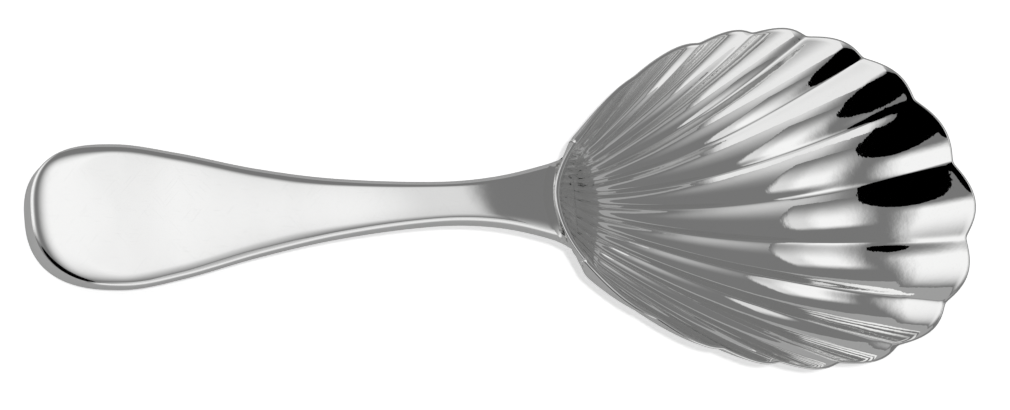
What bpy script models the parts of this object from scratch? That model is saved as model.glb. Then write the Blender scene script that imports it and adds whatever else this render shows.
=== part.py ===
"""Caddy spoon: a scallop-shell bowl, a forged handle and the hard-solder seam that joins them.

Metres, +Z up, +X from the handle towards the tip of the bowl. The origin is under the middle of the
spoon's length, on the surface it lies on: the bowl stands on a small flat and the handle on its end.
"""

import math

import bmesh
import bpy
import numpy as np

# Fit of one piece against the next
CLEARANCE = 0.0003

# Shell seen from above: a polar curve about the hinge, and the arc of its heel behind the hinge
FLUTES = 15
HINGE_X = 0.00447
HEEL_X = 0.00367
RIM_MEAN = 0.02348
RIM_LONG = 0.01958
RIM_SQUARE = 0.00090
RIM_NOSE = -0.00085
RIM_SKEW = -0.00050
CORNER_RADIUS = 0.00649
CORNER_POWER = 14
FAN_DEG = 82.2
FAN_CLOSE_DEG = -30.5
FAN_CORNER_DEG = 24.5
FAN_CORNER_POWER = 9
RIB_SWEEP = 1.42
HEEL_PINCH = 0.19
PINCH_LENGTH = 0.012

# Depth of the shell below its level rim
CUP_HEEL_DEPTH = 0.0018
CUP_RATIO = 0.1840
CUP_LEAN = 0.10
HEEL_WALL_DEG = 42.0
CREASE_ROUND = 0.0009
CREASE_SHORT = 0.008

# Flutes: rim scallops, hollows between the ribs and the plain band under the heel rim
SCALLOP = 0.00085
NOSE_SCALLOP = 0.00125
FLUTE_RATIO = 0.27
FLUTE_FLATNESS = 1.2
FLUTE_RIM_PITCH = 0.0067
FLUTE_SIDE_LOSS = 0.70
RIB_ROUND = 0.12
HEEL_BAND = 0.0022

# Sheet of the bowl and the flat it stands on
SHEET = 0.0008
FOOT_HALF_LENGTH = 0.0042
FOOT_HALF_WIDTH = 0.0025
FOOT_FADE = 2.2
COLUMNS_PER_FLUTE = 6
BOWL_ROWS = 19
ROW_CROWDING = 1.35
NORMAL_STEP = 0.004

# Handle: plan of the end pad, then from the pad to the stem its widths as shares of the pad's, and from its
# end to the stem the heights of its top as shares of the stem's and its sideways bend as shares of the pad's
HANDLE_END_X = -0.0493
PAD_X = -0.0404
PAD_HALF_WIDTH = 0.00738
PAD_END_POWER = 2.5
STEM_X = 0.0066
WIDTH_SHARES = (
    (-0.129, 0.870),
    (0, 1),
    (0.129, 0.870),
    (0.297, 0.603),
    (0.466, 0.407),
    (0.677, 0.295),
    (0.804, 0.339),
    (0.930, 0.520),
    (0.970, 0.620),
    (1, 0.720),
)
TOP_SHARES = (
    (0, 0.315),
    (0.136, 0.396),
    (0.259, 0.480),
    (0.480, 0.664),
    (0.700, 0.873),
    (0.824, 0.965),
    (0.912, 0.995),
    (1, 0.981),
)
BEND_SHARES = (
    (0, 0.040),
    (0.160, -0.023),
    (0.350, -0.035),
    (0.700, -0.014),
    (1, 0),
)
SHANK_END_X = 0.0041
LEAN_X = -0.0084
LEAN_ROUNDS = 8
EDGE_STEP = 0.00001
RIM_STEP = 0.0001
SIDE_HEIGHT = 0.0015
CROWN_RISE = 0.0008
END_CROWN_RISE = 0.0005
SHOULDER = 0.0013
END_SHOULDER = 0.0030
SHOULDER_SHARE = 0.35
SHOULDER_RISE_SHARE = 0.75
UNDER_ROUND = 0.0003
END_STATIONS = 9
SHANK_STATIONS = 22
SHOULDER_STEPS = 4

# Hard-solder seam between the end of the handle and the wall of the heel
SEAM = 0.0004
FLUTE_SHARE = 1.5


def clear_scene():
    for item in list(bpy.data.objects):
        bpy.data.objects.remove(item, do_unlink=True)


def silver(name, colour, roughness):
    material = bpy.data.materials.new(name)
    material.use_nodes = True
    shader = material.node_tree.nodes["Principled BSDF"]
    shader.inputs["Base Color"].default_value = (*colour, 1.0)
    shader.inputs["Metallic"].default_value = 1.0
    shader.inputs["Roughness"].default_value = roughness
    return material


def add_piece(name, vertices, faces, material):
    mesh = bpy.data.meshes.new(name)
    shape = bmesh.new()
    made = [shape.verts.new(v) for v in vertices]
    for face in faces:
        loop = [made[i] for i in dict.fromkeys(face)]
        if len(loop) > 2:
            shape.faces.new(loop)
    bmesh.ops.delete(shape, geom=[v for v in shape.verts if not v.link_faces], context="VERTS")
    bmesh.ops.triangulate(shape, faces=[f for f in shape.faces if len(f.verts) == 4])
    bmesh.ops.recalc_face_normals(shape, faces=shape.faces)
    shape.to_mesh(mesh)
    shape.free()
    mesh.materials.append(material)
    mesh.shade_smooth()
    mesh.set_sharp_from_angle(angle=math.radians(35))
    piece = bpy.data.objects.new(name, mesh)
    bpy.context.scene.collection.objects.link(piece)
    return piece


# Shell surface: s runs across the fan from -1 to 1, t from the heel rim to the front rim


def flute(s):
    """1 in the middle of a flute and 0 on the rounded rib between two."""
    wave = math.cos(math.pi * FLUTES / 2 * s)
    low = RIB_ROUND
    return (math.hypot(wave, low) - low) / (math.hypot(1, low) - low)


def fan_angle(side):
    return math.radians(FAN_DEG * side + FAN_CLOSE_DEG * side**2 + FAN_CORNER_DEG * side**FAN_CORNER_POWER)


def rim_curve(angle):
    lobes = RIM_LONG * math.cos(2 * angle) + RIM_SQUARE * math.cos(4 * angle) + RIM_NOSE * math.cos(6 * angle)
    return RIM_MEAN + lobes


def rim_point(s, bulge):
    """Point of the front rim; towards the ends of the fan it closes in on the corners of the heel."""
    side = abs(s)
    angle = math.copysign(fan_angle(side), s)
    scallop = NOSE_SCALLOP if side < 1 / FLUTES else SCALLOP
    corner = side**CORNER_POWER
    radius = rim_curve(angle) + corner * (CORNER_RADIUS - rim_curve(fan_angle(1)))
    radius += (1 - corner) * (RIM_SKEW * math.sin(6 * angle) + scallop * bulge)
    return HINGE_X + radius * math.cos(angle), radius * math.sin(angle)


HEEL_SLOPE = math.tan(math.radians(HEEL_WALL_DEG))
CORNER_X, CORNER_Y = rim_point(1, 0)
HEEL_PITCH = 2 * CORNER_Y / FLUTES


def heel_point(s):
    return HEEL_X + (CORNER_X - HEEL_X) * s**2, CORNER_Y * s


def pinched(x, y):
    """The +Y side of the shell was drawn in a little towards the heel."""
    if y <= 0:
        return y
    return y * (1 - HEEL_PINCH * max(0, 1 - (x - HEEL_X) / PINCH_LENGTH) ** 2)


def smooth_min(a, b, reach):
    near = max(reach - abs(a - b), 0) / reach
    return min(a, b) - near**3 * reach / 6


def shell(s, t, bulge):
    """Inside of the bowl, below a rim at zero height.

    The bulge is the flute's share: 0 gives the plain cup under the ribs.
    """
    if abs(s) == 1:
        return np.array((CORNER_X, pinched(CORNER_X, math.copysign(CORNER_Y, s)), 0))
    heel_x, heel_y = heel_point(s)
    plain_x, plain_y = rim_point(s, 0)
    rim_x, rim_y = rim_point(s, bulge)
    length = math.hypot(plain_x - heel_x, plain_y - heel_y)
    cup = CUP_HEEL_DEPTH * (1 - t) + 4 * CUP_RATIO * length * t * (1 - t) * (1 + CUP_LEAN * (t - 0.5))
    wall = HEEL_SLOPE * length * t
    depth = smooth_min(wall, cup, CREASE_ROUND * min(1, length / CREASE_SHORT))
    pitch = HEEL_PITCH + (FLUTE_RIM_PITCH * (1 - FLUTE_SIDE_LOSS * s**2) - HEEL_PITCH) * t
    band = min(1, length * t / HEEL_BAND)
    hollow = FLUTE_RATIO * pitch * (1 - t) * band**2 * (3 - 2 * band)
    hollow *= 1 - max(0, 1 - bulge) ** FLUTE_FLATNESS
    x = heel_x + (rim_x - heel_x) * t
    y = heel_y + (rim_y - heel_y) * t**RIB_SWEEP
    return np.array((x, pinched(x, y), -depth - hollow))


def shell_normal(s, t):
    """Upward normal of the plain cup."""
    limit = 1 - 2 * NORMAL_STEP
    s = max(-limit, min(limit, s))
    t = max(NORMAL_STEP, min(1 - NORMAL_STEP, t))
    across = shell(s + NORMAL_STEP, t, 0) - shell(s - NORMAL_STEP, t, 0)
    along = shell(s, t + NORMAL_STEP, 0) - shell(s, t - NORMAL_STEP, 0)
    normal = np.cross(along, across)
    return normal / np.linalg.norm(normal)


def lowest_point():
    """Deepest point on the middle line of the cup."""
    return min((shell(0, t, 1) for t in np.linspace(0, 1, 401)), key=lambda point: point[2])


FOOT_X = lowest_point()[0]
RIM_Z = SHEET - lowest_point()[2]


def inside(s, t):
    return shell(s, t, flute(s)) + np.array((0, 0, RIM_Z))


def underside(s, t):
    """Outside of the sheet, blended into the flat foot."""
    point = inside(s, t) - SHEET * shell_normal(s, t)
    reach = math.hypot((point[0] - FOOT_X) / FOOT_HALF_LENGTH, point[1] / FOOT_HALF_WIDTH)
    keep = min(1, max(0, (reach - 1) / (FOOT_FADE - 1)))
    point[2] *= keep**2 * (3 - 2 * keep)
    point[2] = max(point[2], 0)
    return point


def make_bowl():
    columns = FLUTES * COLUMNS_PER_FLUTE
    across = [2 * i / columns - 1 for i in range(columns + 1)]
    along = [(j / BOWL_ROWS) ** ROW_CROWDING for j in range(BOWL_ROWS + 1)]
    vertices = []
    faces = []

    def sheet_grid(surface):
        grid = []
        for s in across:
            if abs(s) == 1:
                vertices.append(surface(s, 0.5))
                grid.append([len(vertices) - 1] * len(along))
                continue
            grid.append(list(range(len(vertices), len(vertices) + len(along))))
            vertices.extend(surface(s, t) for t in along)
        for i in range(columns):
            for j in range(BOWL_ROWS):
                faces.append((grid[i][j], grid[i + 1][j], grid[i + 1][j + 1], grid[i][j + 1]))
        return grid

    top = sheet_grid(inside)
    back = sheet_grid(underside)
    for i in range(columns):
        for edge in (0, BOWL_ROWS):
            faces.append((top[i][edge], top[i + 1][edge], back[i + 1][edge], back[i][edge]))
    return add_piece("bowl", vertices, faces, silver("polished silver bowl", (0.93, 0.93, 0.92), 0.06))


# Handle: stations along its length, each an edge ring of points down the side and over the shoulder


def smooth_curve(points, x):
    """Cubic through the points, with the slope at each from its neighbours."""
    last = len(points) - 1
    k = 0
    while k < last - 1 and x > points[k + 1][0]:
        k += 1

    def slope(i):
        a = points[max(i - 1, 0)]
        b = points[min(i + 1, last)]
        return (b[1] - a[1]) / (b[0] - a[0])

    span = points[k + 1][0] - points[k][0]
    u = min(1, max(0, (x - points[k][0]) / span))
    start = (1 + 2 * u) * (1 - u) ** 2 * points[k][1] + u * (1 - u) ** 2 * span * slope(k)
    return start + u * u * (3 - 2 * u) * points[k + 1][1] + u * u * (u - 1) * span * slope(k + 1)


def half_width(x):
    if x < PAD_X:
        reach = (PAD_X - x) / (PAD_X - HANDLE_END_X)
        return PAD_HALF_WIDTH * max(0, 1 - reach**PAD_END_POWER) ** (1 / PAD_END_POWER)
    return PAD_HALF_WIDTH * smooth_curve(WIDTH_SHARES, (x - PAD_X) / (STEM_X - PAD_X))


def heel_wall_x(y, z, gap):
    """Where a layer that lies along the outside of the heel wall, a gap away from it, ends in X."""
    s = y / CORNER_Y
    heel_x, heel_y = heel_point(s)
    rim_x, rim_y = rim_point(s, 0)
    steep = HEEL_SLOPE * math.hypot(rim_x - heel_x, rim_y - heel_y) / (rim_x - heel_x)
    turn = 2 * (CORNER_X - HEEL_X) * y / CORNER_Y**2
    square = math.sqrt(1 + turn**2 + steep**-2)
    flutes = FLUTE_SHARE * FLUTE_RATIO * HEEL_PITCH
    return heel_x + (RIM_Z - z) / steep - (SHEET + flutes + gap) * square


SEAM_FRONT_GAP = CLEARANCE
SEAM_BACK_GAP = SEAM_FRONT_GAP + SEAM
HANDLE_GAP = SEAM_BACK_GAP + CLEARANCE
STEM_TOP_Z = RIM_Z - RIM_STEP


def handle_top(x):
    return STEM_TOP_Z * smooth_curve(TOP_SHARES, (x - HANDLE_END_X) / (STEM_X - HANDLE_END_X))


def handle_bend(x):
    return PAD_HALF_WIDTH * smooth_curve(BEND_SHARES, (x - HANDLE_END_X) / (STEM_X - HANDLE_END_X))


END_SIDE_HEIGHT = handle_top(HANDLE_END_X) - END_CROWN_RISE


def handle_stations():
    turns = [math.pi / 2 * i / END_STATIONS for i in range(END_STATIONS)]
    pad = [PAD_X - (PAD_X - HANDLE_END_X) * math.cos(turn) for turn in turns]
    return pad + [PAD_X + (SHANK_END_X - PAD_X) * i / SHANK_STATIONS for i in range(SHANK_STATIONS + 1)]


def outward(x):
    """Direction square to the +Y edge of the handle, seen from above."""
    if x <= HANDLE_END_X:
        return -1, 0
    slope = (half_width(x + EDGE_STEP) - half_width(x - EDGE_STEP)) / (2 * EDGE_STEP)
    size = math.hypot(slope, 1)
    return -slope / size, 1 / size


def pad_share(x):
    """0 up to the widest place of the pad and 1 at the end of the handle, in an easy curve."""
    reach = min(1, max(0, (PAD_X - x) / (PAD_X - HANDLE_END_X)))
    return reach**2 * (3 - 2 * reach)


def side_height(x):
    """Height of the side wall, which changes over the pad until the end stands on the table."""
    return SIDE_HEIGHT + (END_SIDE_HEIGHT - SIDE_HEIGHT) * pad_share(x)


def handle_profile(x):
    """Inset from the edge and depth below the top, from under the edge to the crown."""
    shoulder = SHOULDER + (END_SHOULDER - SHOULDER) * pad_share(x)
    shoulder = min(shoulder, SHOULDER_SHARE * math.hypot(half_width(x), max(0, PAD_X - x)))
    crown = CROWN_RISE + (END_CROWN_RISE - CROWN_RISE) * pad_share(x)
    rise = crown * SHOULDER_RISE_SHARE
    under = crown + side_height(x)
    profile = [(UNDER_ROUND, under), (0, under - UNDER_ROUND), (0, crown)]
    for i in range(1, SHOULDER_STEPS + 1):
        angle = math.pi / 2 * i / SHOULDER_STEPS
        profile.append((shoulder * (1 - math.cos(angle)), crown - rise * math.sin(angle)))
    return profile


def handle_point(x, inset, depth, gap):
    """Point of the handle, on its middle line where no inset is given.

    Towards the heel the sections lean over to lie along its wall.
    """
    lean = max(0, (x - LEAN_X) / (SHANK_END_X - LEAN_X)) ** 2
    middle = inset is None
    inset = inset or 0
    out_x, out_y = outward(x)
    px = x
    for _ in range(LEAN_ROUNDS):
        py = 0 if middle else max(0, half_width(px) - inset * out_y)
        pz = handle_top(px - inset * out_x) - depth
        px = x + lean * (heel_wall_x(py, pz, gap) - SHANK_END_X)
    return px - (1 - lean) * inset * out_x, py, pz


def section(vertices, x, gap):
    """Indices up the +Y side, the -Y side and the middle of one cross-section."""
    right = []
    left = []
    middle = []
    profile = handle_profile(x)
    for inset, depth in profile:
        px, py, pz = handle_point(x, inset, depth, gap)
        bend = handle_bend(px)
        right.append(len(vertices))
        vertices.append((px, bend + py, pz))
        left.append(right[-1])
        if py > 0:
            left[-1] = len(vertices)
            vertices.append((px, bend - py, pz))
    for inset, depth in profile:
        level = 0 if depth == profile[-1][1] else depth
        px, py, pz = handle_point(x, None, level, gap)
        middle.append(len(vertices))
        vertices.append((px, handle_bend(px), pz))
    if half_width(x) == 0:
        middle = right
    return right, left, middle


def side_faces(a, b):
    """Skin between two cross-sections."""
    rings = [[*right, middle[-1], *reversed(left), middle[0]] for right, left, middle in (a, b)]
    pairs = zip(zip(rings[0], rings[1]), zip(rings[0][1:] + rings[0][:1], rings[1][1:] + rings[1][:1]))
    return [(p[0], q[0], q[1], p[1]) for p, q in pairs]


def end_faces(right, left, middle):
    """Face across one cross-section."""
    faces = []
    for side in (right, left):
        for i in range(len(side) - 1):
            faces.append((side[i], side[i + 1], middle[i + 1], middle[i]))
    return faces


def make_handle():
    vertices = []
    faces = []
    rings = [section(vertices, x, HANDLE_GAP) for x in handle_stations()]
    for a, b in zip(rings, rings[1:]):
        faces += side_faces(a, b)
    faces += end_faces(*rings[-1])
    return add_piece("handle", vertices, faces, silver("polished silver handle", (0.93, 0.93, 0.92), 0.06))


def make_seam():
    """A strip of solder with the section of the handle's end, lying along the wall of the heel."""
    vertices = []
    back, front = (section(vertices, SHANK_END_X, gap) for gap in (SEAM_BACK_GAP, SEAM_FRONT_GAP))
    faces = side_faces(back, front) + end_faces(*back) + end_faces(*front)
    return add_piece("solder_seam", vertices, faces, silver("hard solder", (0.86, 0.85, 0.82), 0.18))


clear_scene()
make_bowl()
make_handle()
make_seam()
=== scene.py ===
import math

import bmesh
import bpy
from mathutils import Matrix, Vector


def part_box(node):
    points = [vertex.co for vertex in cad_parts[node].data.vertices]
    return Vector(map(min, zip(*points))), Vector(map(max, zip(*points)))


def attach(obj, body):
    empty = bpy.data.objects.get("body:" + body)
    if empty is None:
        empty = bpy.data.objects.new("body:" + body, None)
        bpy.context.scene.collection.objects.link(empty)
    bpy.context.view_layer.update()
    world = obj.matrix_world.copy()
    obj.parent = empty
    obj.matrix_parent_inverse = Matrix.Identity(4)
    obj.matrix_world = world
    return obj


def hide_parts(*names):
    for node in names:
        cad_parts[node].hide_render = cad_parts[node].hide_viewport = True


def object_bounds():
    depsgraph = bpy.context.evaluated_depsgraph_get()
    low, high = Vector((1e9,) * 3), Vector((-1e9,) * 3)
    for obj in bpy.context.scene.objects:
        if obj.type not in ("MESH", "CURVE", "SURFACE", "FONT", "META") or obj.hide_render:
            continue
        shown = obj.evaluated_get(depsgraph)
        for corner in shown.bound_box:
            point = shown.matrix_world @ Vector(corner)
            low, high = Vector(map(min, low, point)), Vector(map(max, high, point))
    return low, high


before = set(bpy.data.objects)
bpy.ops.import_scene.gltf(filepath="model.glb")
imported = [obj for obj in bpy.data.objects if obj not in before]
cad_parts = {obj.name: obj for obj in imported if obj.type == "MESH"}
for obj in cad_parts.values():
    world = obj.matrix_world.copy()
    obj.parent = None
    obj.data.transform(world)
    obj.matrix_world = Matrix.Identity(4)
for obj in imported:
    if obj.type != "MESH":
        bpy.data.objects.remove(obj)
cad_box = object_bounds()


# Bowl: one disc of silver sheet, raised and chased into a scallop shell. Flutes fan out from the heel
# with a rounded rib between each two. The sheet thins out towards the front rim, whose edge is rounded.

FLUTES = 15
FAN_DEG = 82.2
FAN_CLOSE_DEG = -30.5
FAN_CORNER_DEG = 24.5
FAN_CORNER_POWER = 9
FAN_END = math.radians(FAN_DEG + FAN_CLOSE_DEG + FAN_CORNER_DEG)
CORNER_POWER = 14
SHEET = 0.0008
SHELL_SIZES = {
    "hinge x": 0.00447,
    "heel x": 0.00367,
    "rim mean": 0.02358,
    "rim long": 0.01958,
    "rim square": 0.00090,
    "rim nose": -0.00085,
    "rim skew": -0.00050,
    "corner radius": 0.00649,
    "scallop": 0.00085,
    "nose scallop": 0.00125,
    "heel depth": 0.0018,
    "crease round": 0.0009,
    "crease short": 0.008,
    "heel band": 0.0007,
    "flute rim pitch": 0.0067,
    "sheet": SHEET,
    "lip round": 0.00015,
    "foot half length": 0.0042,
    "foot half width": 0.0025,
    "rim height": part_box("bowl")[1][2],
}
RIB_SWEEP = 1.42
HEEL_PINCH = 0.19
PINCH_LENGTH = 0.012
CUP_RATIO = 0.1840
CUP_LEAN = 0.10
HEEL_SLOPE = math.tan(math.radians(42))
FLUTE_RATIO = 0.27
FLUTE_FLATNESS = 1.2
FLUTE_SIDE_LOSS = 0.70
RIB_ROUND = 0.12
RIM_THINNING = 0.25
RIM_THINNING_POWER = 6
NOSE_THINNING = 0.5
NOSE_THINNING_POWER = 14
NOSE_FADE_POWER = 4
HEEL_THINNING = 0.5
HEEL_EDGE_POWER = 90
FOOT_X = 0.02510
FOOT_FADE = 2.2
COLUMNS = FLUTES * 30
COLUMN_CROWDING = 0.5
TOP_ROWS = 112
BACK_ROWS = 32
LIP_ROWS = 6
ROW_CROWDING = 1.35
NORMAL_STEP = 0.002
POLE = 0.9999
WELD = 0.000002
SILVER = (0.96, 0.96, 0.955)
WORN_SHARE = 0.90
HAIRLINE_TURNS = (0.12, 0.9, 2.3)
HAIRLINE_STRETCH = (110, 5200, 5200)
HAIRLINE_START = 0.72
HAIRLINE_WIDTH = 0.06
HAIRLINE_DULLING = 0.15
HAIRLINE_ROUGHNESS = 0.01
SMEARS_PER_METRE = 90
SMEAR_DULLING = 0.5
CLEAN_ROUGHNESS = 0.6
SMEAR_ROUGHNESS = 0.8
WAVES_PER_METRE = 260
PITS_PER_METRE = 1500
PIT_SHARE = 0.12
BOWL_ROUGHNESS = 0.02
BOWL_WAVINESS = 0.00003


class Formula:
    """A socket of a node tree: arithmetic on it adds Math nodes to its tree."""

    def __init__(self, tree, socket=None):
        self.tree = tree
        self.socket = socket

    def node(self, kind, settings, inputs, output=0):
        """Add any other node: its settings first, then the values or links of its sockets."""
        node = self.tree.nodes.new(kind)
        for name, value in settings.items():
            setattr(node, name, value)
        for name, value in inputs.items():
            if isinstance(value, Formula):
                self.tree.links.new(value.socket, node.inputs[name])
            else:
                node.inputs[name].default_value = value
        return Formula(self.tree, node.outputs[output] if node.outputs else None)

    def output(self, key):
        return Formula(self.tree, self.socket.node.outputs[key])

    def math(self, operation, *values):
        return self.node("ShaderNodeMath", {"operation": operation}, dict(enumerate(values)))

    def clamped(self, low=0.0, high=1.0):
        return self.math("MINIMUM", self.math("MAXIMUM", self, low), high)

    def __add__(self, other):
        return self.math("ADD", self, other)

    def __radd__(self, other):
        return self.math("ADD", other, self)

    def __sub__(self, other):
        return self.math("SUBTRACT", self, other)

    def __rsub__(self, other):
        return self.math("SUBTRACT", other, self)

    def __mul__(self, other):
        return self.math("MULTIPLY", self, other)

    def __rmul__(self, other):
        return self.math("MULTIPLY", other, self)

    def __truediv__(self, other):
        return self.math("DIVIDE", self, other)

    def __pow__(self, other):
        return self.math("POWER", self, other)

    def __gt__(self, other):
        return self.math("GREATER_THAN", self, other)

    def __lt__(self, other):
        return self.math("LESS_THAN", self, other)


def cosine(angle):
    return angle.math("COSINE", angle) if isinstance(angle, Formula) else math.cos(angle)


def sine(angle):
    return angle.math("SINE", angle) if isinstance(angle, Formula) else math.sin(angle)


def absolute(value):
    return value.math("ABSOLUTE", value) if isinstance(value, Formula) else abs(value)


def sign(value):
    return value.math("SIGN", value) if isinstance(value, Formula) else math.copysign(1, value)


def length_of(a, b):
    return a.math("SQRT", a * a + b * b)


def eased(share):
    return share * share * (3 - 2 * share)


def smooth_min(a, b, reach):
    return a.math("SMOOTH_MIN", a, b, reach)


def flute_bulge(s):
    """1 in the middle of a flute and 0 on the rounded rib between two."""
    wave = cosine(s * (math.pi * FLUTES / 2))
    low = RIB_ROUND
    return (wave.math("SQRT", wave * wave + low * low) - low) / (math.hypot(1, low) - low)


def fan_angle(side):
    turn = FAN_DEG * side + FAN_CLOSE_DEG * side**2 + FAN_CORNER_DEG * side**FAN_CORNER_POWER
    return turn * (math.pi / 180)


def rim_curve(size, angle):
    lobes = size["rim long"] * cosine(2 * angle) + size["rim square"] * cosine(4 * angle)
    return size["rim mean"] + lobes + size["rim nose"] * cosine(6 * angle)


def rim_point(size, s, bulge):
    """Point of the front rim; towards the ends of the fan it closes in on the corners of the heel."""
    side = absolute(s)
    angle = fan_angle(side) * sign(s)
    corner = side**CORNER_POWER
    radius = rim_curve(size, angle) + corner * (size["corner radius"] - rim_curve(size, FAN_END))
    radius = radius + (1 - corner) * size["rim skew"] * sine(6 * angle)
    if bulge:
        nose = side < 1 / FLUTES
        scallop = size["scallop"] + nose * (size["nose scallop"] - size["scallop"])
        radius = radius + (1 - corner) * scallop * bulge
    return size["hinge x"] + radius * cosine(angle), radius * sine(angle)


def shell_point(size, s, t, bulge=None):
    """Inside of the bowl; with no bulge it is the plain cup under the ribs."""
    corner_x = size["hinge x"] + size["corner radius"] * math.cos(FAN_END)
    corner_y = size["corner radius"] * math.sin(FAN_END)
    heel_x = size["heel x"] + (corner_x - size["heel x"]) * s * s
    heel_y = corner_y * s
    plain_x, plain_y = rim_point(size, s, None)
    rim_x, rim_y = rim_point(size, s, bulge) if bulge else (plain_x, plain_y)
    length = length_of(plain_x - heel_x, plain_y - heel_y)
    cup = 4 * CUP_RATIO * length * t * (1 - t) * (1 + CUP_LEAN * (t - 0.5)) + size["heel depth"] * (1 - t)
    wall = HEEL_SLOPE * length * t
    reach = size["crease round"] * (length / size["crease short"]).clamped(WELD)
    height = size["rim height"] - smooth_min(wall, cup, reach)
    if bulge:
        heel_pitch = 2 / FLUTES * corner_y
        rim_pitch = size["flute rim pitch"] * (1 - FLUTE_SIDE_LOSS * s * s)
        pitch = heel_pitch + (rim_pitch - heel_pitch) * t
        band = (length * t / size["heel band"]).clamped()
        hollow = 1 - (1 - bulge).clamped() ** FLUTE_FLATNESS
        height = height - FLUTE_RATIO * pitch * (1 - t) * eased(band) * hollow
    x = heel_x + (rim_x - heel_x) * t
    y = heel_y + (rim_y - heel_y) * t**RIB_SWEEP
    near_heel = (1 - (x - size["heel x"]) / PINCH_LENGTH).clamped()
    y = y * (1 - HEEL_PINCH * near_heel * near_heel * (y > 0))
    return x.node("ShaderNodeCombineXYZ", {}, {"X": x, "Y": y, "Z": height})


def vector(operation, a, b):
    key = "Scale" if operation == "SCALE" else 1
    return a.node("ShaderNodeVectorMath", {"operation": operation}, {0: a, key: b})


def unit(a):
    return a.node("ShaderNodeVectorMath", {"operation": "NORMALIZE"}, {0: a})


def grow_shell(tree, size, material):
    """A grid wrapped round the sheet: over the inside, round the lip, back below and round the heel."""
    start = Formula(tree)
    rows = TOP_ROWS + BACK_ROWS + 2 * LIP_ROWS
    spans = {"Size X": 2, "Size Y": rows, "Vertices X": COLUMNS + 1, "Vertices Y": rows + 1}
    grid = start.node("GeometryNodeMeshGrid", {}, spans)
    spot = start.node("GeometryNodeInputPosition", {}, {})
    place = start.node("ShaderNodeSeparateXYZ", {}, {"Vector": spot})
    column = place.output("X")
    row = place.output("Y") + rows / 2
    crowd = COLUMN_CROWDING / (math.pi * FLUTES)
    s = (column + crowd * sine(column * (math.pi * FLUTES))).clamped(-1, 1)
    out = (row / TOP_ROWS).clamped()
    home = ((row - (TOP_ROWS + LIP_ROWS)) / BACK_ROWS).clamped()
    t = (out - home) ** ROW_CROWDING
    front_lip = ((row - TOP_ROWS) / LIP_ROWS).clamped()
    heel_lip = ((row - (TOP_ROWS + LIP_ROWS + BACK_ROWS)) / LIP_ROWS).clamped()
    turn = (front_lip + heel_lip) * math.pi
    pole = absolute(s) > POLE

    inside = shell_point(size, s, t, flute_bulge(s))
    flat_s = s.clamped(-1 + 3 * NORMAL_STEP, 1 - 3 * NORMAL_STEP)
    flat_t = (t + pole * (0.5 - t)).clamped(NORMAL_STEP, 1 - NORMAL_STEP)
    across = vector(
        "SUBTRACT",
        shell_point(size, flat_s + NORMAL_STEP, flat_t),
        shell_point(size, flat_s - NORMAL_STEP, flat_t),
    )
    along = vector(
        "SUBTRACT",
        shell_point(size, flat_s, flat_t + NORMAL_STEP),
        shell_point(size, flat_s, flat_t - NORMAL_STEP),
    )
    normal = unit(vector("CROSS_PRODUCT", along, across))
    edge = unit(along)
    heel_edge = (1 - flat_t) ** HEEL_EDGE_POWER
    nose = (1 - s**NOSE_FADE_POWER) * flat_t**NOSE_THINNING_POWER
    thin = 1 - RIM_THINNING * flat_t**RIM_THINNING_POWER - NOSE_THINNING * nose - HEEL_THINNING * heel_edge
    sink = size["sheet"] * thin * (cosine(turn) - 1) * 0.5
    reach = size["lip round"] * sine(turn) * (1 - pole)
    tilt = normal.node("ShaderNodeCombineXYZ", {}, {"X": 1, "Y": 1, "Z": 1 - heel_edge})
    through = unit(vector("MULTIPLY", normal, tilt))
    skin = vector("ADD", inside, vector("SCALE", through, sink))
    skin = vector("ADD", skin, vector("SCALE", edge, reach))

    at = skin.node("ShaderNodeSeparateXYZ", {}, {"Vector": skin})
    foot_x = (at.output("X") - FOOT_X) / size["foot half length"]
    foot_y = at.output("Y") / size["foot half width"]
    keep = eased(((length_of(foot_x, foot_y) - 1) / (FOOT_FADE - 1)).clamped())
    under = (1 - cosine(turn)) * 0.5
    lowered = at.output("Z") * (1 - under * (1 - keep))
    z = lowered.math("MAXIMUM", lowered, 0)
    seat = skin.node("ShaderNodeCombineXYZ", {}, {"X": at.output("X"), "Y": at.output("Y"), "Z": z})

    shaped = start.node("GeometryNodeSetPosition", {}, {"Geometry": grid, "Position": seat})
    closed = start.node("GeometryNodeMergeByDistance", {}, {"Geometry": shaped, "Distance": WELD})
    return start.node("GeometryNodeSetMaterial", {}, {"Geometry": closed, "Material": material})


def grown_mesh(name, sizes, grow, material):
    """Run a tree with named sizes once and keep its result as a plain mesh."""
    tree = bpy.data.node_groups.new(name, "GeometryNodeTree")
    tree.interface.new_socket("Geometry", in_out="OUTPUT", socket_type="NodeSocketGeometry")
    sockets = {}
    for key in sizes:
        sockets[key] = tree.interface.new_socket(key, in_out="INPUT", socket_type="NodeSocketFloat")
    given = tree.nodes.new("NodeGroupInput")
    result = grow(tree, {key: Formula(tree, given.outputs[key]) for key in sizes}, material)
    result.node("NodeGroupOutput", {}, {0: result})
    piece = bpy.data.objects.new(name, bpy.data.meshes.new(name))
    bpy.context.scene.collection.objects.link(piece)
    modifier = piece.modifiers.new("shape", "NODES")
    modifier.node_group = tree
    for key, value in sizes.items():
        modifier[sockets[key].identifier] = value
    mesh = bpy.data.meshes.new_from_object(piece.evaluated_get(bpy.context.evaluated_depsgraph_get()))
    piece.modifiers.remove(modifier)
    piece.data = mesh
    return piece


def face_outwards(piece):
    shape = bmesh.new()
    shape.from_mesh(piece.data)
    bmesh.ops.recalc_face_normals(shape, faces=shape.faces)
    shape.to_mesh(piece.data)
    shape.free()
    piece.data.shade_smooth()


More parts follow.
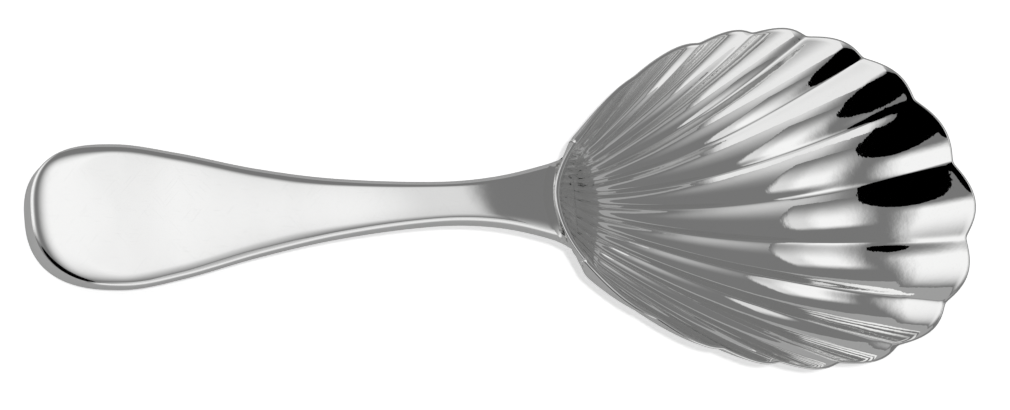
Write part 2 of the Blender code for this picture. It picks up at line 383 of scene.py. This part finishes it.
def polished_silver(name, colour, roughness, waviness):
    """Silver from a buffing wheel: a mirror with hairlines, faint smears and a hand-worked waviness."""
    material = bpy.data.materials.new(name)
    material.use_nodes = True
    tree = material.node_tree
    where = Formula(tree).node("ShaderNodeTexCoord", {}, {}, "Object")

    def noise(scale, detail, place=where):
        return where.node("ShaderNodeTexNoise", {}, {"Vector": place, "Scale": scale, "Detail": detail})

    hairlines = 0
    for turn in HAIRLINE_TURNS:
        turned = where.node(
            "ShaderNodeVectorRotate", {"rotation_type": "Z_AXIS"}, {"Vector": where, "Angle": turn}
        )
        streak = noise(1, 0, vector("MULTIPLY", turned, HAIRLINE_STRETCH))
        hairlines = ((streak - HAIRLINE_START) / HAIRLINE_WIDTH).clamped() + hairlines
    smear = noise(SMEARS_PER_METRE, 3)
    waves = noise(WAVES_PER_METRE, 1) + noise(PITS_PER_METRE, 2) * PIT_SHARE
    dull = (smear * SMEAR_DULLING + hairlines * HAIRLINE_DULLING).clamped()
    worn = tuple(channel * WORN_SHARE for channel in colour)
    mixed = {0: dull, 6: (*colour, 1), 7: (*worn, 1)}
    shade = where.node("ShaderNodeMix", {"data_type": "RGBA"}, mixed, 2)
    bump = where.node("ShaderNodeBump", {}, {"Height": waves, "Strength": 1.0, "Distance": waviness})
    shader = tree.nodes["Principled BSDF"]
    shader.inputs["Metallic"].default_value = 1.0
    tree.links.new(shade.socket, shader.inputs["Base Color"])
    rough = roughness * (CLEAN_ROUGHNESS + SMEAR_ROUGHNESS * smear) + HAIRLINE_ROUGHNESS * hairlines
    tree.links.new(rough.socket, shader.inputs["Roughness"])
    tree.links.new(bump.socket, shader.inputs["Normal"])
    return material


bowl_silver = polished_silver("bowl_silver", SILVER, BOWL_ROUGHNESS, BOWL_WAVINESS)
bowl = grown_mesh("bowl_shell", SHELL_SIZES, grow_shell, bowl_silver)
face_outwards(bowl)
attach(bowl, "root")
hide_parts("bowl")


# Handle: one bar of silver, forged and filed, with a nearly flat top between rounded shoulders. It is narrow
# in the stem and swells to a pad that stands on its thick end. Its foot flares out along the bowl's heel.

CORNER_X, CORNER_Y = rim_point(SHELL_SIZES, 1, None)
HEEL_X = SHELL_SIZES["heel x"]
RIM_Z = SHELL_SIZES["rim height"]
END_X = -0.0493
PAD_X = -0.0404
PAD_HALF_WIDTH = 0.00738
PAD_END_POWER = 2.5
STEM_X = 0.0066
FOOT_END_X = 0.0041
LEAN_X = -0.0084
LEAN_ROUNDS = 8
WIDTHS = (
    (-0.129, 0.870),
    (0, 1),
    (0.129, 0.870),
    (0.297, 0.603),
    (0.466, 0.407),
    (0.677, 0.295),
    (0.804, 0.339),
    (0.930, 0.520),
    (0.970, 0.640),
    (1, 0.810),
)
TOPS = (
    (0, 0.315),
    (0.136, 0.396),
    (0.259, 0.480),
    (0.480, 0.664),
    (0.700, 0.873),
    (0.824, 0.965),
    (0.912, 0.995),
    (1, 0.981),
)
BENDS = (
    (0, 0.040),
    (0.160, -0.023),
    (0.350, -0.035),
    (0.700, -0.014),
    (1, 0),
)
RIM_STEP = 0.0001
SIDE_HEIGHT = 0.0015
CROWN_RISE = 0.0008
END_CROWN_RISE = 0.0005
SHOULDER = 0.0013
END_SHOULDER = 0.0030
SHOULDER_SHARE = 0.35
SHOULDER_RISE_SHARE = 0.75
UNDER_ROUND = 0.0005
SOLDER = 0.0004
ARC_STEPS = 16
UNDER_STEPS = 8
CROWN_STEPS = 12
SHANK_STEPS = 90
PAD_STEPS = 30
SHARP_DEG = 40
HANDLE_ROUGHNESS = 0.06
HANDLE_WAVINESS = 0.000006


def smooth_curve(points, x):
    """Cubic through the points, with the slope at each from its neighbours."""
    last = len(points) - 1
    k = 0
    while k < last - 1 and x > points[k + 1][0]:
        k += 1
    slopes = []
    for i in (k, k + 1):
        a = points[max(i - 1, 0)]
        b = points[min(i + 1, last)]
        slopes.append((b[1] - a[1]) / (b[0] - a[0]))
    span = points[k + 1][0] - points[k][0]
    u = min(1, max(0, (x - points[k][0]) / span))
    start = (1 + 2 * u) * (1 - u) ** 2 * points[k][1] + u * (1 - u) ** 2 * span * slopes[0]
    return start + u * u * (3 - 2 * u) * points[k + 1][1] + u * u * (u - 1) * span * slopes[1]


def half_width(x):
    if x < PAD_X:
        reach = (PAD_X - x) / (PAD_X - END_X)
        return PAD_HALF_WIDTH * max(0, 1 - reach**PAD_END_POWER) ** (1 / PAD_END_POWER)
    return PAD_HALF_WIDTH * smooth_curve(WIDTHS, (x - PAD_X) / (STEM_X - PAD_X))


def along_handle(points, x):
    return smooth_curve(points, (x - END_X) / (STEM_X - END_X))


def handle_top(x):
    return (RIM_Z - RIM_STEP) * along_handle(TOPS, x)


def pad_share(x):
    """0 up to the widest place of the pad and 1 at the end of the handle, in an easy curve."""
    return eased(min(1, max(0, (PAD_X - x) / (PAD_X - END_X))))


def handle_thickness(x):
    """The thickness changes over the pad until the end stands on the table."""
    plain = CROWN_RISE + SIDE_HEIGHT
    return plain + (handle_top(END_X) - plain) * pad_share(x)


def heel_wall_x(y, z, gap):
    """Where a layer that lies along the outside of the heel's wall, a gap away from it, ends in X."""
    s = y / CORNER_Y
    heel_x = HEEL_X + (CORNER_X - HEEL_X) * s**2
    rim_x, rim_y = rim_point(SHELL_SIZES, s, None)
    steep = HEEL_SLOPE * math.hypot(rim_x - heel_x, rim_y - y) / (rim_x - heel_x)
    turn = 2 * (CORNER_X - HEEL_X) * y / CORNER_Y**2
    square = math.sqrt(1 + turn**2 + steep**-2)
    return heel_x + (RIM_Z - z) / steep - (SHEET + gap) * square


def handle_ring(x, reach):
    """Insets from the edge with heights, first above the underside and then below the top."""
    shoulder = min(SHOULDER + (END_SHOULDER - SHOULDER) * pad_share(x), SHOULDER_SHARE * reach)
    crown_rise = CROWN_RISE + (END_CROWN_RISE - CROWN_RISE) * pad_share(x)
    turns = [math.pi / 2 * i / ARC_STEPS for i in range(ARC_STEPS + 1)]
    ring = [(reach - (reach - UNDER_ROUND) * i / UNDER_STEPS, 0, 0) for i in range(UNDER_STEPS)]
    for turn in turns[::2]:
        ring.append((UNDER_ROUND * (1 - math.sin(turn)), UNDER_ROUND * (1 - math.cos(turn)), 0))
    insets = [shoulder * (1 - math.cos(turn)) for turn in turns]
    insets += [shoulder + (reach - shoulder) * i / CROWN_STEPS for i in range(1, CROWN_STEPS + 1)]
    for inset in insets:
        arc = math.sqrt(1 - max(0, 1 - inset / shoulder) ** 2)
        crown = 1 - (1 - inset / reach) ** 2
        rise = SHOULDER_RISE_SHARE * arc + (1 - SHOULDER_RISE_SHARE) * crown
        ring.append((inset, crown_rise * (rise - 1), 1))
    return ring


def handle_point(x, side, share, height, from_top, gap):
    """Point a share of the way in from the edge to the spine; near the heel it leans along the wall."""
    start = x + (max(x, PAD_X) - x) * share
    lean = max(0, (x - LEAN_X) / (FOOT_END_X - LEAN_X)) ** 2
    px = start
    for _ in range(LEAN_ROUNDS):
        py = side * half_width(px if lean else x) * (1 - share)
        pz = handle_top(px) + height - (0 if from_top else handle_thickness(px))
        px = start + lean * (heel_wall_x(py, pz, gap) - FOOT_END_X)
    return px, py + PAD_HALF_WIDTH * along_handle(BENDS, px), pz


def half_section(x, side, gap):
    reach = math.hypot(half_width(x), max(PAD_X - x, 0))
    ring = handle_ring(x, reach)
    return [handle_point(x, side, inset / reach, height, top, gap) for inset, height, top in ring]


def skinned_piece(name, sections, material):
    """Skin a closed round of half sections, which meet along the middle line."""
    shape = bmesh.new()
    rows = [[shape.verts.new(point) for point in section] for section in sections]
    for a, b in zip(rows, rows[1:] + rows[:1]):
        for i in range(len(a) - 1):
            shape.faces.new((a[i], a[i + 1], b[i + 1], b[i]))
    bmesh.ops.remove_doubles(shape, verts=shape.verts, dist=WELD)
    bmesh.ops.recalc_face_normals(shape, faces=shape.faces)
    mesh = bpy.data.meshes.new(name)
    shape.to_mesh(mesh)
    shape.free()
    mesh.materials.append(material)
    mesh.shade_smooth()
    mesh.set_sharp_from_angle(angle=math.radians(SHARP_DEG))
    piece = bpy.data.objects.new(name, mesh)
    bpy.context.scene.collection.objects.link(piece)
    return piece


shank = [FOOT_END_X + (PAD_X - FOOT_END_X) * i / SHANK_STEPS for i in range(SHANK_STEPS)]
pad = [PAD_X - (PAD_X - END_X) * math.sin(math.pi / 2 * i / PAD_STEPS) for i in range(PAD_STEPS + 1)]
stations = [(x, 1) for x in shank + pad] + [(x, -1) for x in reversed(shank + pad[:-1])]
sections = [half_section(x, side, SOLDER) for x, side in stations]
handle_silver = polished_silver("handle_silver", SILVER, HANDLE_ROUGHNESS, HANDLE_WAVINESS)
handle = skinned_piece("handle_bar", sections, handle_silver)
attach(handle, "root")
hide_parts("handle")


# Solder seam: silver solder of a lower melting point, run into the joint between the handle's foot and the
# heel, where it draws in to a slight hollow as it sets. It is dressed flush, a little duller than the silver.

SEAM_STEPS = 6
SEAM_HOLLOW = 0.02
SEAM_FILL = 0.00045
SEAM_FILL_DEPTH = 0.0008
SEAM_FILL_POWER = 4
HARD_SOLDER = (0.93, 0.93, 0.92)
SOLDER_ROUGHNESS = 0.12
SOLDER_WAVINESS = 0.00001


def seam_section(step, side):
    """Section of the handle's foot, drawn in the most halfway and filling the corner under the lip."""
    section = half_section(FOOT_END_X, side, SOLDER * (1 - step / SEAM_STEPS))
    keep = 1 - SEAM_HOLLOW * math.sin(math.pi * step / SEAM_STEPS)
    middle = (section[0][2] + section[-1][2]) / 2
    edge_y = max(abs(y) for x, y, z in section)
    points = []
    for x, y, z in section:
        fill = eased(min(1, max(0, 1 - (RIM_Z - z) / SEAM_FILL_DEPTH))) * SEAM_FILL * step / SEAM_STEPS
        fill *= 1 - (y / edge_y) ** SEAM_FILL_POWER
        points.append((x + fill, y * keep, middle + (z - middle) * keep))
    return points


rounds = [seam_section(step, 1) for step in range(SEAM_STEPS + 1)]
rounds += [seam_section(step, -1) for step in reversed(range(SEAM_STEPS + 1))]
hard_solder = polished_silver("hard_solder", HARD_SOLDER, SOLDER_ROUGHNESS, SOLDER_WAVINESS)
seam = skinned_piece("solder_strip", rounds, hard_solder)
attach(seam, "root")
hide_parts("solder_seam")


# Stage: a pale table top in a grey room, as for photographing polished silver. Soft panels hang overhead, on
# the left, on the right and low in front; an oval black card and a grey strip show in the silver as dark
# shapes, a grey sweep stands round the table, and a high sun gives the narrow shadow.

ROOM_GREY = 0.19
FLOOR_HALF = 2.0
FLOOR_GREY = 0.80
FLOOR_CAMERA_GLOW = 0.52
FLOOR_MIRROR_LOSS = 0.42
PANEL_Z = 0.28
RIGHT_Z = 0.30
FRONT_Y = -0.40
CARD_Z = 0.279
BLACK_MIDDLE = (-0.19, -0.28)
BLACK_REACH = (0.108, 0.28)
BLACK_STEPS = 64
STRIP_LOW = (-0.395, -0.02)
STRIP_HIGH = (-0.365, 0.45)
SWEEP_RADIUS = 1.5
SWEEP_TOP = 0.62
SWEEP_STEPS = 48
SWEEP_GREY = 0.36
SUN_RISE_DEG = 69.5
SUN_TURN_DEG = 38.24
SUN_STRENGTH = 1.2
SUN_ANGLE_DEG = 2.0


def add_card(name, corners, faces, material):
    mesh = bpy.data.meshes.new(name)
    mesh.from_pydata(corners, [], faces)
    mesh.materials.append(material)
    card = bpy.data.objects.new(name, mesh)
    bpy.context.scene.collection.objects.link(card)
    return card


def show_only_in_silver(card):
    card.visible_camera = False
    card.visible_diffuse = False
    card.visible_shadow = False


def plain_shader(name, build):
    """A material made of one shader that the builder function returns."""
    material = bpy.data.materials.new(name)
    material.use_nodes = True
    nodes = material.node_tree.nodes
    nodes.remove(nodes["Principled BSDF"])
    shader = build(Formula(material.node_tree))
    material.node_tree.links.new(shader.socket, nodes["Material Output"].inputs["Surface"])
    return material


def table_top(start):
    """Matt and pale, whiter to the camera and darker in the silver, and clear when seen from below."""
    path = start.node("ShaderNodeLightPath", {}, {})
    grey = FLOOR_GREY * (1 - FLOOR_MIRROR_LOSS * path.output("Is Glossy Ray"))
    matt = start.node("ShaderNodeBsdfDiffuse", {}, {"Color": grey})
    lift = path.output("Is Camera Ray") * FLOOR_CAMERA_GLOW
    glow = start.node("ShaderNodeEmission", {}, {"Color": (1, 1, 1, 1), "Strength": lift})
    top = start.node("ShaderNodeAddShader", {}, {0: matt, 1: glow})
    below = start.node("ShaderNodeNewGeometry", {}, {}, "Backfacing")
    clear = start.node("ShaderNodeBsdfTransparent", {}, {})
    return start.node("ShaderNodeMixShader", {}, {0: below, 1: top, 2: clear})


def even_glow(name, grey):
    glow = {"Color": (grey, grey, grey, 1)}
    return plain_shader(name, lambda start: start.node("ShaderNodeEmission", {}, glow))


def add_panel(name, axes, low, high, softness, peak, place, dim=None):
    """A glowing panel that fades into the grey of the room over the given widths of its four sides.

    It may dim along its first axis, from a place over a width by a share.
    """

    def glow(start):
        where = start.node("ShaderNodeTexCoord", {}, {}, "Object")
        split = start.node("ShaderNodeSeparateXYZ", {}, {"Vector": where})
        share = 1
        for axis, near, far, (soft_near, soft_far) in zip(axes, low, high, softness):
            along = split.output(axis)
            rising = eased(((along - near) / soft_near).clamped())
            share = rising * eased(((far - along) / soft_far).clamped()) * share
        if dim:
            dim_from, dim_width, dim_share = dim
            past = (split.output(axes[0]) - dim_from) / dim_width
            share = share * (1 - dim_share * eased(past.clamped()))
        strength = ROOM_GREY + (peak - ROOM_GREY) * share
        return start.node("ShaderNodeEmission", {}, {"Color": (1, 1, 1, 1), "Strength": strength})

    corners = [place(*low), place(high[0], low[1]), place(*high), place(low[0], high[1])]
    card = add_card(name, corners, [range(4)], plain_shader(name, glow))
    card.visible_camera = False
    card.visible_shadow = False


def overhead(x, y):
    return (x, y, PANEL_Z)


def above(x, y):
    return (x, y, RIGHT_Z)


def in_front(x, z):
    return (x, FRONT_Y, z)


floor_z = cad_box[0][2]
floor_corners = [(FLOOR_HALF * x, FLOOR_HALF * y, floor_z) for x, y in ((-1, -1), (1, -1), (1, 1), (-1, 1))]
add_card("floor", floor_corners, [range(4)], plain_shader("table_top", table_top))
add_panel(
    "strip_panel",
    "XY",
    low=(-0.135, -0.22),
    high=(0.034, 0.255),
    softness=((0.07, 0.016), (0.28, 0.12)),
    peak=0.97,
    place=overhead,
    dim=(-0.032, 0.032, 0.30),
)
add_panel(
    "left_panel",
    "XY",
    low=(-0.75, -0.01),
    high=(-0.145, 1.20),
    softness=((0.12, 0.08), (0.10, 1.00)),
    peak=0.96,
    place=overhead,
)
add_panel(
    "front_panel",
    "XZ",
    low=(-0.12, -0.10),
    high=(0.40, 0.80),
    softness=((0.06, 0.10), (0.28, 0.35)),
    peak=0.85,
    place=in_front,
)
add_panel(
    "right_panel",
    "XY",
    low=(-0.10, -0.60),
    high=(0.50, 0.03),
    softness=((0.14, 0.45), (0.10, 0.45)),
    peak=0.72,
    place=above,
)

oval = []
for i in range(BLACK_STEPS):
    angle = 2 * math.pi * i / BLACK_STEPS
    x = BLACK_MIDDLE[0] + BLACK_REACH[0] * math.cos(angle)
    oval.append((x, BLACK_MIDDLE[1] + BLACK_REACH[1] * math.sin(angle), CARD_Z))
black_paper = {"Color": (0, 0, 0, 1)}
black = plain_shader("black_card", lambda start: start.node("ShaderNodeBsdfDiffuse", {}, black_paper))
show_only_in_silver(add_card("black_card", oval, [range(BLACK_STEPS)], black))
(left, near), (right, far) = STRIP_LOW, STRIP_HIGH
strip_corners = [(left, near, CARD_Z), (right, near, CARD_Z), (right, far, CARD_Z), (left, far, CARD_Z)]
show_only_in_silver(add_card("grey_card", strip_corners, [range(4)], even_glow("grey_card", ROOM_GREY)))

walls = []
for z in (floor_z, SWEEP_TOP):
    for i in range(SWEEP_STEPS):
        angle = 2 * math.pi * i / SWEEP_STEPS
        walls.append((SWEEP_RADIUS * math.cos(angle), SWEEP_RADIUS * math.sin(angle), z))
sides = []
for i in range(SWEEP_STEPS):
    after = (i + 1) % SWEEP_STEPS
    sides.append((i, after, SWEEP_STEPS + after, SWEEP_STEPS + i))
add_card("sweep", walls, sides, even_glow("sweep", SWEEP_GREY)).visible_camera = False

world = bpy.data.worlds.new("room")
world.use_nodes = True
world.node_tree.nodes["Background"].inputs["Color"].default_value = (ROOM_GREY, ROOM_GREY, ROOM_GREY, 1)
bpy.context.scene.world = world


def direction(rise, turn):
    """Unit vector from the table to a place above the handle's near side."""
    flat = math.cos(rise)
    return Vector((-flat * math.cos(turn), -flat * math.sin(turn), math.sin(rise)))


lamp = bpy.data.lights.new("sun", "SUN")
lamp.energy = SUN_STRENGTH
lamp.angle = math.radians(SUN_ANGLE_DEG)
sun = bpy.data.objects.new("sun", lamp)
sun_from = direction(math.radians(SUN_RISE_DEG), math.radians(SUN_TURN_DEG))
sun.rotation_euler = sun_from.to_track_quat("Z", "Y").to_euler()
sun.visible_glossy = False
bpy.context.scene.collection.objects.link(sun)


# Camera: a long lens above the handle's near side, level with the spoon's length.

VIEW_RISE_DEG = 64.84
VIEW_TURN_DEG = 38.24
VIEW_ROLL_DEG = 0.342
VIEW_DISTANCE = 0.700
VIEW_AIM = Vector((-0.00087, 0.00019, 0.00674))
PHOTO_WIDTH = 1010
PIXELS_PER_METRE = 9930
SENSOR_WIDTH = 36

back = direction(math.radians(VIEW_RISE_DEG), math.radians(VIEW_TURN_DEG))
right = (Vector((1, 0, 0)) - back * back.x).normalized()
up = back.cross(right)
roll = math.radians(VIEW_ROLL_DEG)
right, up = right * math.cos(roll) + up * math.sin(roll), up * math.cos(roll) - right * math.sin(roll)

lens = bpy.data.cameras.new("camera")
lens.sensor_width = SENSOR_WIDTH
lens.sensor_fit = "HORIZONTAL"
lens.lens = SENSOR_WIDTH * PIXELS_PER_METRE * VIEW_DISTANCE / PHOTO_WIDTH
camera = bpy.data.objects.new("camera", lens)
turned = Matrix((right, up, back)).transposed().to_4x4()
camera.matrix_world = Matrix.Translation(VIEW_AIM + back * VIEW_DISTANCE) @ turned
bpy.context.scene.collection.objects.link(camera)
bpy.context.scene.camera = camera

bpy.context.scene.view_settings.view_transform = "Standard"
